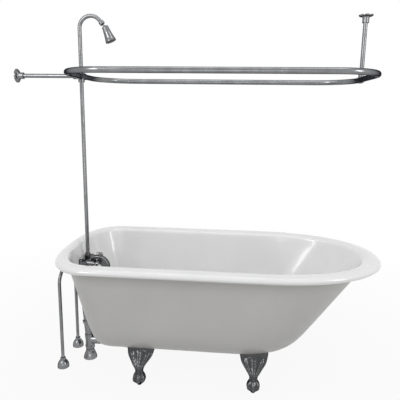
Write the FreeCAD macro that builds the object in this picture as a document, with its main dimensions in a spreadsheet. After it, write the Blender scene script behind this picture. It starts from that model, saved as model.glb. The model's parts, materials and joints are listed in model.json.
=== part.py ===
import FreeCAD, Part
import math
import os
import Sketcher

# Roll-top cast iron bathtub on four ball-and-claw feet, with its waste and overflow, bath tap,
# riser, hand-bent supplies, shower head and hung shower ring.
# Millimetres. +X runs from the drain end to the round end, +Y away from the viewer, +Z up.
# The origin is on the floor, on the centre line of the waste outlet.

doc = FreeCAD.newDocument("RollTopTub")
sheet = doc.addObject("Spreadsheet::Sheet", "Sizes")
Vector = FreeCAD.Vector
Rotation = FreeCAD.Rotation


class Size:
    """A number together with the spreadsheet formula that it comes from."""

    def __init__(self, value, formula):
        self.value = value
        self.formula = formula

    def __float__(self):
        return float(self.value)

    def __neg__(self):
        return Size(-self.value, "(-1 * %s)" % self.formula)

    def __add__(self, other):
        return Size(self.value + float(other), "(%s + %s)" % (self.formula, formula(other)))

    def __radd__(self, other):
        return Size(float(other) + self.value, "(%s + %s)" % (formula(other), self.formula))

    def __sub__(self, other):
        return Size(self.value - float(other), "(%s - %s)" % (self.formula, formula(other)))

    def __rsub__(self, other):
        return Size(float(other) - self.value, "(%s - %s)" % (formula(other), self.formula))

    def __mul__(self, other):
        return Size(self.value * float(other), "(%s * %s)" % (self.formula, formula(other)))

    def __rmul__(self, other):
        return Size(float(other) * self.value, "(%s * %s)" % (formula(other), self.formula))

    def __rtruediv__(self, other):
        return Size(float(other) / self.value, "(%s / %s)" % (formula(other), self.formula))

    def root(self):
        return Size(math.sqrt(self.value), "sqrt(%s)" % self.formula)

    def __truediv__(self, other):
        return Size(self.value / float(other), "(%s / %s)" % (self.formula, formula(other)))


def formula(amount):
    return amount.formula if isinstance(amount, Size) else repr(float(amount))


def size(name, value):
    """Writes one driving dimension into the spreadsheet."""
    row = len(size.names) + 1
    size.names.append(name)
    sheet.set("A%d" % row, name)
    sheet.set("B%d" % row, str(value))
    sheet.setAlias("B%d" % row, name)
    return Size(float(value), "Sizes." + name)


size.names = []


def sine(angle):
    return Size(math.sin(math.radians(float(angle))), "sin(%s * 1 deg)" % formula(angle))


def cosine(angle):
    return Size(math.cos(math.radians(float(angle))), "cos(%s * 1 deg)" % formula(angle))


def tangent(angle):
    return Size(math.tan(math.radians(float(angle))), "tan(%s * 1 deg)" % formula(angle))


# Driving dimensions: the tub casting
tub_length = size("tub_length", 1524)
tub_width = size("tub_width", 762)
rim_height = size("rim_height", 635)
tub_wall = size("tub_wall", 8)
underside_height = size("underside_height", 150.5)
drain_set_in = size("drain_set_in", 90)
drain_end_reach = size("drain_end_reach", 238)
drain_end_fullness = size("drain_end_fullness", 2.7)
round_end_reach = size("round_end_reach", 578)
round_end_fullness = size("round_end_fullness", 2.2)
drain_end_lean = size("drain_end_lean", 14.7)
round_end_lean = size("round_end_lean", 35.4)
side_lean = size("side_lean", 8.2)
drain_toe = size("drain_toe", 41)
round_toe = size("round_toe", 83)
side_toe = size("side_toe", 159)
rim_overhang = size("rim_overhang", 64)
drain_overhang = size("drain_overhang", 46)
round_overhang = size("round_overhang", 78)
roll_height = size("roll_height", 20)
roll_lip_angle = size("roll_lip_angle", 70)

# Driving dimensions: the feet
drain_feet_set_in = size("drain_feet_set_in", 404)
round_feet_set_in = size("round_feet_set_in", 577)
feet_set_in = size("feet_set_in", 175)
ball_radius = size("ball_radius", 30.5)
toe_radius = size("toe_radius", 9)
ball_centre = size("ball_centre", 43)
ankle_height = size("ankle_height", 80)
ankle_half_width = size("ankle_half_width", 25)
knee_half_width = size("knee_half_width", 64)
knee_half_depth = size("knee_half_depth", 34)
knee_set_back = size("knee_set_back", 52)
foot_top = size("foot_top", 195)
talon_radius = size("talon_radius", 8.5)
foot_tongue_reach = size("foot_tongue_reach", 94)
foot_lug_radius = size("foot_lug_radius", 20)
foot_lug_drop = size("foot_lug_drop", 12)
foot_tongue_thickness = size("foot_tongue_thickness", 10)
foot_bolt_radius = size("foot_bolt_radius", 5)
foot_bolt_head_radius = size("foot_bolt_head_radius", 9)
foot_bolt_head_height = size("foot_bolt_head_height", 6.5)
foot_washer_radius = size("foot_washer_radius", 12)
foot_washer_thickness = size("foot_washer_thickness", 2)

# Driving dimensions: waste and overflow
waste_hole_x = size("waste_hole_x", 205)
waste_hole_radius = size("waste_hole_radius", 24)
strainer_flange_radius = size("strainer_flange_radius", 36)
strainer_flange_thickness = size("strainer_flange_thickness", 4)
strainer_tube_radius = size("strainer_tube_radius", 22)
strainer_bore_radius = size("strainer_bore_radius", 19)
strainer_bar_width = size("strainer_bar_width", 4)
strainer_tube_drop = size("strainer_tube_drop", 30)
waste_gasket_thickness = size("waste_gasket_thickness", 4)
shoe_flange_radius = size("shoe_flange_radius", 36)
shoe_flange_thickness = size("shoe_flange_thickness", 5)
shoe_bowl_radius = size("shoe_bowl_radius", 27)
waste_height = size("waste_height", 104)
waste_tube_radius = size("waste_tube_radius", 19.05)
waste_tube_wall = size("waste_tube_wall", 1.2)
tee_radius = size("tee_radius", 22.5)
tee_half_height = size("tee_half_height", 32)
tee_branch = size("tee_branch", 42)
tube_depth_in_tee = size("tube_depth_in_tee", 16)
slip_nut_radius = size("slip_nut_radius", 26)
slip_nut_length = size("slip_nut_length", 15)
bell_base_radius = size("bell_base_radius", 34.5)
bell_top_radius = size("bell_top_radius", 21.5)
bell_height = size("bell_height", 52)
bell_dome_radius = size("bell_dome_radius", 140)
bell_skin = size("bell_skin", 1.8)
overflow_height = size("overflow_height", 425)
overflow_lean = size("overflow_lean", 5.4)
overflow_joint = size("overflow_joint", 95)
overflow_tube_radius = size("overflow_tube_radius", 17.5)
overflow_overlap = size("overflow_overlap", 25)
overflow_hole_radius = size("overflow_hole_radius", 22)
overflow_socket_radius = size("overflow_socket_radius", 20.5)
overflow_socket_length = size("overflow_socket_length", 34)
overflow_flange_radius = size("overflow_flange_radius", 31)
overflow_flange_thickness = size("overflow_flange_thickness", 5)
overflow_gasket_thickness = size("overflow_gasket_thickness", 4)
overflow_gasket_gap = size("overflow_gasket_gap", 0.3)
overflow_bore_radius = size("overflow_bore_radius", 11)
overflow_plate_radius = size("overflow_plate_radius", 38)
overflow_plate_thickness = size("overflow_plate_thickness", 6)
overflow_plate_gap = size("overflow_plate_gap", 0.85)
overflow_screw_radius = size("overflow_screw_radius", 2.5)
overflow_screw_spread = size("overflow_screw_spread", 16)
overflow_screw_head_radius = size("overflow_screw_head_radius", 4.5)
overflow_screw_head_height = size("overflow_screw_head_height", 2.5)
stopper_radius = size("stopper_radius", 30)
stopper_thickness = size("stopper_thickness", 6)
stopper_knob_radius = size("stopper_knob_radius", 8)
stopper_knob_height = size("stopper_knob_height", 14)
stopper_stem_radius = size("stopper_stem_radius", 5)
stopper_seat_gap = size("stopper_seat_gap", 0.3)
stopper_tail = size("stopper_tail", 18)

# Driving dimensions: the tap
faucet_height = size("faucet_height", 540)
faucet_centres = size("faucet_centres", 85.7)
riser_set_in = size("riser_set_in", 95.6)
manifold_radius = size("manifold_radius", 15)
manifold_end = size("manifold_end", 22)
shank_radius = size("shank_radius", 10.4)
shank_bore_radius = size("shank_bore_radius", 6.5)
shank_reach = size("shank_reach", 29)
shank_hole_radius = size("shank_hole_radius", 12)
shank_flange_radius = size("shank_flange_radius", 20)
shank_flange_thickness = size("shank_flange_thickness", 5)
shank_wedge = size("shank_wedge", 3)
shank_gasket_radius = size("shank_gasket_radius", 18)
shank_gasket_depth = size("shank_gasket_depth", 10)
locknut_radius = size("locknut_radius", 18)
locknut_thickness = size("locknut_thickness", 8)
valve_boss_radius = size("valve_boss_radius", 14)
valve_boss_reach = size("valve_boss_reach", 28)
bonnet_length = size("bonnet_length", 20)
bonnet_radius = size("bonnet_radius", 12)
stem_radius = size("stem_radius", 4)
stem_depth = size("stem_depth", 12)
handle_gap = size("handle_gap", 4)
handle_hub_radius = size("handle_hub_radius", 9)
handle_hub_length = size("handle_hub_length", 15)
handle_arm_radius = size("handle_arm_radius", 3.6)
handle_arm_reach = size("handle_arm_reach", 21)
handle_ball_radius = size("handle_ball_radius", 5)
handle_cap_radius = size("handle_cap_radius", 6.5)
handle_cap_height = size("handle_cap_height", 3.5)
spout_width = size("spout_width", 30)
spout_boss_reach = size("spout_boss_reach", 17)
spout_reach = size("spout_reach", 95)
spout_rise = size("spout_rise", 30)
spout_drop = size("spout_drop", 42)
spout_depth = size("spout_depth", 24)
spout_base_height = size("spout_base_height", 26)
spout_skin = size("spout_skin", 3)
spout_belly = size("spout_belly", 50)
spout_flat_start = size("spout_flat_start", 34)
spout_curve = size("spout_curve", 60)
spout_round = size("spout_round", 5)
diverter_set_out = size("diverter_set_out", 45)
diverter_base_radius = size("diverter_base_radius", 8)
diverter_base_height = size("diverter_base_height", 5)
diverter_stem_radius = size("diverter_stem_radius", 3)
diverter_stem_depth = size("diverter_stem_depth", 10)
diverter_handle_height = size("diverter_handle_height", 13)
diverter_arm_reach = size("diverter_arm_reach", 12)
diverter_arm_radius = size("diverter_arm_radius", 2.6)
diverter_ball_radius = size("diverter_ball_radius", 3.8)
riser_boss_radius = size("riser_boss_radius", 10)
riser_boss_rise = size("riser_boss_rise", 23)
riser_nut_radius = size("riser_nut_radius", 14)
riser_nut_length = size("riser_nut_length", 24)
riser_nut_grip = size("riser_nut_grip", 7)

# Driving dimensions: riser, shower head, ring and stays
riser_radius = size("riser_radius", 9)
riser_wall = size("riser_wall", 1.2)
gooseneck_radius = size("gooseneck_radius", 54)
gooseneck_turn = size("gooseneck_turn", 140)
gooseneck_tail = size("gooseneck_tail", 18)
gooseneck_height = size("gooseneck_height", 1663)
head_nut_radius = size("head_nut_radius", 12.5)
head_nut_length = size("head_nut_length", 15)
head_nut_grip = size("head_nut_grip", 9)
head_ball_radius = size("head_ball_radius", 8)
head_neck_radius = size("head_neck_radius", 4)
head_neck_length = size("head_neck_length", 8)
head_rest_tilt = size("head_rest_tilt", 17)
head_seal_gap = size("head_seal_gap", 0.35)
head_seal_wall = size("head_seal_wall", 2.5)
head_collar_radius = size("head_collar_radius", 15.5)
head_collar_wall = size("head_collar_wall", 3)
head_collar_grip = size("head_collar_grip", 5)
head_body_top_radius = size("head_body_top_radius", 17)
head_body_face_radius = size("head_body_face_radius", 24.5)
head_body_length = size("head_body_length", 52)
head_body_wall = size("head_body_wall", 2.5)
spray_plate_thickness = size("spray_plate_thickness", 4)
spray_hole_radius = size("spray_hole_radius", 1.4)
spray_ring_radius = size("spray_ring_radius", 13)
spray_hole_count = size("spray_hole_count", 12)
ring_height = size("ring_height", 1449.5)
ring_length = size("ring_length", 1308)
ring_width = size("ring_width", 660)
ring_corner = size("ring_corner", 190)
ring_tube_radius = size("ring_tube_radius", 12.7)
ring_tube_wall = size("ring_tube_wall", 1.2)
ring_joint_length = size("ring_joint_length", 60)
hub_socket_radius = size("hub_socket_radius", 16.5)
hub_socket_reach = size("hub_socket_reach", 38)
hub_socket_stop = size("hub_socket_stop", 14)
hub_collar_radius = size("hub_collar_radius", 14.5)
hub_collar_half_height = size("hub_collar_half_height", 28)
hub_screw_radius = size("hub_screw_radius", 2.5)
hub_screw_head_radius = size("hub_screw_head_radius", 4.2)
hub_screw_head_height = size("hub_screw_head_height", 3)
stay_radius = size("stay_radius", 9.7)
stay_wall = size("stay_wall", 1.2)
wall_face_x = size("wall_face_x", -311)
flange_radius = size("flange_radius", 32)
flange_thickness = size("flange_thickness", 6)
flange_hub_radius = size("flange_hub_radius", 15)
flange_hub_length = size("flange_hub_length", 34)
flange_socket_depth = size("flange_socket_depth", 26)
flange_bolt_circle = size("flange_bolt_circle", 46)
flange_bolt_radius = size("flange_bolt_radius", 2.6)
flange_bolt_count = size("flange_bolt_count", 3)
ceiling_stay_y = size("ceiling_stay_y", 105)
ceiling_height = size("ceiling_height", 1735)
eye_radius = size("eye_radius", 17)
eye_width = size("eye_width", 20)
eye_neck_length = size("eye_neck_length", 34)
eye_neck_radius = size("eye_neck_radius", 13)
eye_socket_depth = size("eye_socket_depth", 16)

# Driving dimensions: the two supplies
supply_x = size("supply_x", -107)
supply_centres = size("supply_centres", 209.2)
supply_radius = size("supply_radius", 8)
supply_wall = size("supply_wall", 1.2)
supply_straight = size("supply_straight", 470)
supply_corner_x = size("supply_corner_x", -100)
supply_low_bend = size("supply_low_bend", 70)
supply_top_bend = size("supply_top_bend", 24)
supply_collar_radius = size("supply_collar_radius", 10)
supply_collar_thickness = size("supply_collar_thickness", 2.5)
supply_nut_radius = size("supply_nut_radius", 14.5)
supply_nut_length = size("supply_nut_length", 20)
supply_nut_grip = size("supply_nut_grip", 8)
supply_bell_radius = size("supply_bell_radius", 29)
supply_bell_top_radius = size("supply_bell_top_radius", 13)
supply_bell_height = size("supply_bell_height", 52)
supply_bell_dome_radius = size("supply_bell_dome_radius", 47)

# Named clearances
slip_fit = size("slip_fit", 0.15)
running_fit = size("running_fit", 0.06)
bolt_play = size("bolt_play", 0.5)

doc.recompute()

# Places worked out from the driving dimensions
rim_x = -drain_set_in
floor_top = underside_height + tub_wall
roll_centre = rim_height - roll_height
lip_height = roll_centre - roll_height * sine(roll_lip_angle)
riser_x = rim_x + riser_set_in
drain_feet_x = rim_x + drain_feet_set_in
round_feet_x = rim_x + tub_length - round_feet_set_in
feet_y = tub_width / 2 - feet_set_in
foot_lug_y = feet_y - foot_tongue_reach
hot_y = -faucet_centres / 2
cold_y = faucet_centres / 2
feet = {
    "foot_drain_near": (drain_feet_x, -1),
    "foot_drain_far": (drain_feet_x, 1),
    "foot_round_near": (round_feet_x, -1),
    "foot_round_far": (round_feet_x, 1),
}

UPRIGHT = Rotation()
ALONG_X = Rotation(Vector(0, 1, 0), 90)
BACK_ALONG_X = Rotation(Vector(0, 1, 0), -90)
ALONG_Y = Rotation(Vector(1, 0, 0), -90)
BACK_ALONG_Y = Rotation(Vector(1, 0, 0), 90)
DOWN = Rotation(Vector(1, 0, 0), 180)

nodes = []


def bind(thing, name, amount):
    """Sets one property, and ties it to the spreadsheet where the amount comes from there."""
    if isinstance(amount, Size):
        thing.setExpression(name, amount.formula)
    else:
        setattr(thing, name, amount)


def place(thing, at, turn=UPRIGHT):
    """Puts a piece at a point; turn is a fixed rotation, or an axis with an angle from the sheet."""
    leaning = isinstance(turn, tuple)
    rotation = Rotation(turn[0], float(turn[1])) if leaning else turn
    thing.Placement = FreeCAD.Placement(Vector(*[float(part) for part in at]), rotation)
    for axis, amount in zip("xyz", at):
        if isinstance(amount, Size):
            thing.setExpression("Placement.Base." + axis, amount.formula)
    if leaning and isinstance(turn[1], Size):
        thing.setExpression("Placement.Rotation.Angle", turn[1].formula)


def primitive(kind, label, at, turn=UPRIGHT, **sizes):
    piece = doc.addObject("Part::" + kind, label)
    for name, amount in sizes.items():
        bind(piece, name, amount)
    place(piece, at, turn)
    return piece


def cylinder(label, radius, height, at, turn=UPRIGHT):
    return primitive("Cylinder", label, at, turn, Radius=radius, Height=height)


def sphere(label, radius, at):
    return primitive("Sphere", label, at, Radius=radius)


def hexagon(label, radius, height, at, turn=UPRIGHT):
    return primitive("Prism", label, at, turn, Polygon=6, Circumradius=radius, Height=height)


def fuse(label, pieces):
    joined = doc.addObject("Part::MultiFuse", label)
    joined.Shapes = pieces
    return joined


def cut(label, base, tools):
    piece = doc.addObject("Part::Cut", label)
    piece.Base = base
    piece.Tool = tools[0] if len(tools) == 1 else fuse(label + "_cuts", tools)
    return piece


def common(label, one, other):
    piece = doc.addObject("Part::Common", label)
    piece.Base = one
    piece.Tool = other
    return piece


def group(label, pieces):
    set_of = doc.addObject("Part::Compound", label)
    set_of.Links = pieces
    return set_of


def node(piece):
    """Marks a finished piece of the bath to be written as a file of its own."""
    nodes.append(piece)
    return piece


def sketch_on(body, role, name):
    sketch = body.newObject("Sketcher::SketchObject", body.Name + name)
    plane = [feature for feature in body.Origin.OriginFeatures if feature.Role == role][0]
    sketch.AttachmentSupport = [(plane, "")]
    sketch.MapMode = "FlatFace"
    sketch.Visibility = False
    return sketch


def chain(body, role, name, points, closed):
    """A sketch of lines and arcs through points of (across, up). A third value makes the side that
    follows a point an arc of that radius, which turns left, or right where the radius is negative."""
    sketch = sketch_on(body, role, name)
    corners = [Vector(float(point[0]), float(point[1]), 0) for point in points]
    count = len(points) if closed else len(points) - 1
    sides = []
    for i in range(count):
        start = corners[i]
        finish = corners[(i + 1) % len(points)]
        if len(points[i]) == 3:
            sides.append(arc_side(sketch, start, finish, points[i][2]))
        else:
            sides.append((sketch.addGeometry(Part.LineSegment(start, finish)), 1, 2))
    for i, (side, first, last) in enumerate(sides):
        if closed or i + 1 < count:
            following = sides[(i + 1) % count]
            sketch.addConstraint(Sketcher.Constraint("Coincident", side, last, following[0], following[1]))
        pin_point(sketch, side, first, points[i])
    if not closed:
        pin_point(sketch, sides[-1][0], sides[-1][2], points[-1])
    return sketch


def pin_point(sketch, side, end, point):
    """Fixes one corner of a sketch at its place, measured from the sketch's origin."""
    for kind, axis, amount in (("DistanceX", -2, point[0]), ("DistanceY", -1, point[1])):
        if isinstance(amount, Size):
            number = sketch.addConstraint(Sketcher.Constraint(kind, -1, 1, side, end, float(amount)))
            sketch.setExpression("Constraints[%d]" % number, amount.formula)
        elif amount == 0:
            sketch.addConstraint(Sketcher.Constraint("PointOnObject", side, end, axis))
        else:
            sketch.addConstraint(Sketcher.Constraint(kind, -1, 1, side, end, float(amount)))


def arc_side(sketch, start, finish, bend):
    """Adds an arc of under a half turn between two corners."""
    left_turn = float(bend) > 0
    radius = bend if left_turn else -bend
    chord = finish - start
    rise = math.sqrt(max(float(radius) ** 2 - (chord.Length / 2) ** 2, 0))
    left = Vector(-chord.y, chord.x, 0).normalize()
    centre = (start + finish) * 0.5 + left * (rise if left_turn else -rise)
    begin, end = (start, finish) if left_turn else (finish, start)
    angles = [math.atan2(point.y - centre.y, point.x - centre.x) for point in (begin, end)]
    circle = Part.Circle(centre, Vector(0, 0, 1), float(radius))
    side = sketch.addGeometry(Part.ArcOfCircle(circle, angles[0], angles[1]))
    number = sketch.addConstraint(Sketcher.Constraint("Radius", side, float(radius)))
    if isinstance(radius, Size):
        sketch.setExpression("Constraints[%d]" % number, radius.formula)
    return (side, 1, 2) if left_turn else (side, 2, 1)


def new_body(label, at, turn=UPRIGHT):
    body = doc.addObject("PartDesign::Body", label)
    place(body, at, turn)
    return body


def turned(label, points, at, turn=UPRIGHT):
    """A lathe-turned piece: an outline of (radius, height) spun about the piece's own axis."""
    body = new_body(label, at, turn)
    sketch = chain(body, "XZ_Plane", "_outline", points, True)
    spin = body.newObject("PartDesign::Revolution", label + "_spin")
    spin.Profile = sketch
    spin.ReferenceAxis = (sketch, ["V_Axis"])
    spin.Angle = 360
    body.Tip = spin
    return body


def sleeve(label, outer, inner, length, at, turn=UPRIGHT):
    """A plain tube."""
    return turned(label, [(inner, 0), (outer, 0), (outer, length), (inner, length)], at, turn)


def hex_nut(label, radius, length, bores, at, turn=UPRIGHT):
    """A hexagon nut with its corners turned off and a stepped bore given as (radius, from, to)."""
    blank = hexagon(label + "_blank", radius, length, at, turn)
    bevel = radius * 0.12
    crown = turned(
        label + "_crown",
        [(0, 0), (radius - bevel, 0), (radius, bevel), (radius, length - bevel), (radius - bevel, length),
         (0, length)],
        at, turn)
    body = common(label + "_body", blank, crown)
    rotation = Rotation(turn[0], float(turn[1])) if isinstance(turn, tuple) else turn
    along = rotation.multVec(Vector(0, 0, 1))
    tools = []
    for number, (bore, start, end) in enumerate(bores):
        spot = [centre + start * round(step, 9) if round(step, 9) else centre
                for centre, step in zip(at, along)]
        tools.append(cylinder("%s_bore_%d" % (label, number), bore, end - start, spot, turn))
    return cut(label, body, tools)


def bent_in_plane(label, role, section_role, points, outer, wall, at):
    """A tube bent in one plane: a ring section carried along lines and tangent arcs."""
    body = new_body(label, at)
    spine = chain(body, role, "_route", points, False)
    section = sketch_on(body, section_role, "_section")
    for number, radius in enumerate((outer, outer - wall)):
        circle = Part.Circle(Vector(0, 0, 0), Vector(0, 0, 1), float(radius))
        section.addGeometry(circle)
        section.addConstraint(Sketcher.Constraint("Coincident", number, 3, -1, 1))
        constraint = section.addConstraint(Sketcher.Constraint("Radius", number, float(radius)))
        section.setExpression("Constraints[%d]" % constraint, radius.formula)
    pipe = body.newObject("PartDesign::AdditivePipe", label + "_pipe")
    pipe.Profile = section
    pipe.Spine = (spine, ["Edge%d" % (number + 1) for number in range(len(points) - 1)])
    body.Tip = pipe
    return body


def feature(label, shape, at=(0, 0, 0), turn=UPRIGHT):
    """A free-form piece whose shape is worked out here from the sheet's sizes."""
    piece = doc.addObject("Part::Feature", label)
    piece.Shape = shape
    place(piece, at, turn)
    return piece


# The tub casting: closed outlines in level planes, skinned from the basin floor over the roll to the foot
QUARTER_STEPS = 9
SIDE_STEPS = 3
ROLL_STEP = 25
TOE_STEPS = 4
WALL_LEVELS = (0.5, 0.72, 0.9, 1.0)
ROLL_SWELL_POWER = 6


def tub_outline(height, side_inset, drain_inset, round_inset):
    """One level outline of the tub: two superellipse ends joined by straight sides."""
    half_rim = float(tub_width) / 2
    half = half_rim - side_inset
    share = half / half_rim
    left = float(rim_x) + drain_inset
    right = float(rim_x + tub_length) - round_inset
    drain_reach = float(drain_end_reach) * share
    round_reach = float(round_end_reach) * share

    def end_point(step, tip, reach, fullness):
        turn = math.radians(90.0 * step / QUARTER_STEPS)
        power = 2 / float(fullness)
        along = reach * (1 - max(math.cos(turn), 0) ** power)
        return (tip + along, half * math.sin(turn) ** power)

    far = [end_point(step, left, drain_reach, drain_end_fullness) for step in range(QUARTER_STEPS + 1)]
    start = far[-1][0]
    stop = right - round_reach
    far += [(start + (stop - start) * step / SIDE_STEPS, half) for step in range(1, SIDE_STEPS)]
    far += [end_point(QUARTER_STEPS - step, right, -round_reach, round_end_fullness)
            for step in range(QUARTER_STEPS + 1)]
    near = [(x, -y) for x, y in reversed(far[1:-1])]
    curve = Part.BSplineCurve()
    curve.interpolate(Points=[Vector(x, y, height) for x, y in far + near], PeriodicFlag=True)
    return Part.Wire(curve.toShape())


def wall_outline(level, bottom, skin, swell):
    """The tub wall at a height above its own bottom: leaning walls that curve in at the toe.
    The inner face has the wall's thickness as its skin, and swells into the roll near the top."""
    insets = []
    for lean, toe, overhang in ((side_lean, side_toe, rim_overhang), (drain_end_lean, drain_toe, drain_overhang),
                                (round_end_lean, round_toe, round_overhang)):
        slope = math.tan(math.radians(float(lean)))
        curve = float(toe) - skin
        below = max(curve - level, 0)
        rounding = curve - math.sqrt(curve ** 2 - below ** 2)
        thickness = skin / math.cos(math.radians(float(lean)))
        fall = float(lip_height) - bottom - level
        insets.append(float(overhang) + thickness + (fall + swell) * slope + rounding)
    return tub_outline(bottom + level, *insets)


def wall_levels(bottom, top):
    toe = float(side_toe)
    levels = [toe * (1 - math.cos(math.radians(90.0 * step / TOE_STEPS))) for step in range(TOE_STEPS)]
    return levels + [toe + (top - bottom - toe) * share for share in (0,) + WALL_LEVELS]


def roll_outline(angle):
    """The rolled rim at an angle round its rounded section, 180 at the basin and 0 outermost."""
    share = (1 - math.cos(math.radians(angle))) / 2
    insets = [float(overhang + tub_wall) * share for overhang in (rim_overhang, drain_overhang, round_overhang)]
    height = float(roll_centre) + float(roll_height) * math.sin(math.radians(angle))
    return tub_outline(height, *insets)


def skin_face(wires):
    return Part.makeLoft(wires, False, False).Faces


def flat_face(wire):
    return Part.Face(wire)


def closed_solid(faces):
    shell = Part.makeShell(faces)
    shell.sewShape()
    solid = Part.makeSolid(Part.Shell(shell.Faces))
    if solid.Volume < 0:
        solid.reverse()
    return solid


outer_wires = [wall_outline(level, float(underside_height), 0, 0)
               for level in wall_levels(float(underside_height), float(lip_height))]
basin_depth = float(roll_centre - floor_top)
roll_swell = float(roll_centre - lip_height)
inner_wires = [wall_outline(level, float(floor_top), float(tub_wall),
                            roll_swell * (level / basin_depth) ** ROLL_SWELL_POWER)
               for level in wall_levels(float(floor_top), float(roll_centre))]
roll_angles = [180 - ROLL_STEP * step for step in range(int((180 + float(roll_lip_angle)) // ROLL_STEP) + 1)]
roll_wires = [inner_wires[-1]] + [roll_outline(angle) for angle in roll_angles[1:]]

tub_skin = feature("tub_skin", closed_solid(
    [flat_face(inner_wires[0])] + skin_face(inner_wires) + skin_face(roll_wires)
    + skin_face([roll_wires[-1], outer_wires[-1]]) + skin_face(outer_wires) + [flat_face(outer_wires[0])]))
tub_basin = feature("tub_basin", closed_solid(
    [flat_face(inner_wires[0])] + skin_face(inner_wires) + [flat_face(inner_wires[-1])]))
tub_outer = feature("tub_outer", closed_solid(
    [flat_face(outer_wires[0])] + skin_face(outer_wires) + [flat_face(outer_wires[-1])]))


# Cast lugs under the floor take the foot bolts
lug_bottom = underside_height - foot_lug_drop
lugs = []
lug_holes = []
for name, (foot_x, side) in feet.items():
    spot = (foot_x, foot_lug_y * side, lug_bottom)
    lugs.append(cylinder(name + "_lug", foot_lug_radius, foot_lug_drop + tub_wall / 2, spot))
    lug_holes.append(cylinder(name + "_lug_hole", foot_bolt_radius + slip_fit, foot_lug_drop, spot))

# Openings of the casting: the waste in the floor, the overflow and the two tap shanks in the drain end
wall_out_x = rim_x + drain_overhang + (lip_height - faucet_height) * tangent(drain_end_lean)
wall_in_x = wall_out_x + tub_wall / cosine(drain_end_lean)
overflow_x = rim_x + drain_overhang + (lip_height - overflow_height) * tangent(drain_end_lean)
inward = (Vector(0, 1, 0), 90 - drain_end_lean)


def overflow_spot(depth):
    """A point on the overflow's axis, at a depth into the tub from the wall's outer face."""
    return (overflow_x + depth * cosine(drain_end_lean), 0, overflow_height + depth * sine(drain_end_lean))


wall_holes = [
    cylinder("waste_hole", waste_hole_radius, tub_wall * 3, (waste_hole_x, 0, underside_height - tub_wall)),
    cylinder("overflow_hole", overflow_hole_radius, tub_wall * 5, overflow_spot(-2 * tub_wall), inward),
]
for name, side_y in (("hot", hot_y), ("cold", cold_y)):
    wall_holes.append(cylinder(name + "_shank_hole", shank_hole_radius, tub_wall * 5,
                               (wall_out_x - 2 * tub_wall, side_y, faucet_height), ALONG_X))

node(cut("tub_shell", fuse("tub_casting", [tub_skin] + lugs), wall_holes + lug_holes))

# The ball-and-claw feet
TALON_TURNS = (-52, 0, 52, 180)
LEAF_TURNS = (-62, -31, 0, 31, 62)
LEAF_LEVELS = 5
LEAF_STALK = 0.32
LEAF_SPREAD = 0.13
TALON_LEVELS = (0.93, 0.74, 0.5, 0.28, 0.12)
BALL_SHARES = ((0, 0), (0.17, 0.26), (0.37, 0.6), (0.65, 0.88), (1, 1))
NECK_RISE = 0.45
NECK_GIRTH = 0.8
TALON_TAPER = 0.13
TALON_PROUD = 0.2


def ball_levels():
    """Height and radius of the ball, a drop that narrows to its toe and closes into the ankle."""
    toe = float(toe_radius)
    girth = float(ball_radius)
    middle = float(ball_centre)
    ankle = float(ankle_height)
    neck = float(ankle_half_width)
    for up, out in BALL_SHARES:
        yield (middle * up, toe + (girth - toe) * out)
    yield (middle + (ankle - middle) * NECK_RISE, neck + (girth - neck) * NECK_GIRTH)
    yield (ankle, neck)


def ball_reach(height):
    """The ball's radius at a height."""
    levels = list(ball_levels())
    for (low, inner), (high, outer) in zip(levels, levels[1:]):
        if low <= height <= high:
            return inner + (outer - inner) * (height - low) / (high - low)


def rod_through(places):
    """A tapering rod through points, each with its own radius."""
    wires = []
    for number, (point, radius) in enumerate(places):
        before = places[max(number - 1, 0)][0]
        after = places[min(number + 1, len(places) - 1)][0]
        wires.append(Part.Wire(Part.Circle(point, after - before, radius).toShape()))
    return Part.makeLoft(wires, True, False)


LEG_SHARES = (  # height, width, depth and set-back, each from the ankle's to the knee's
    (0, 0, 0, 0),
    (0.15, 0.1, 0.1, 0.05),
    (0.24, 0.2, 0.2, 0.12),
    (0.44, 0.63, 0.45, 0.45),
    (0.63, 0.91, 0.7, 0.72),
    (0.78, 1, 0.9, 0.88),
    (1, 1, 1, 1),
)


def leg_levels():
    """Height, half width, half depth and set-back of the leg from the ankle to the tub."""
    ankle = float(ankle_height)
    rise = float(foot_top) - ankle
    narrow = float(ankle_half_width)
    wider = float(knee_half_width) - narrow
    deeper = float(knee_half_depth) - narrow
    for up, width, depth, back in LEG_SHARES:
        yield (ankle + rise * up, narrow + wider * width, narrow + deeper * depth, float(knee_set_back) * back)


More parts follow.
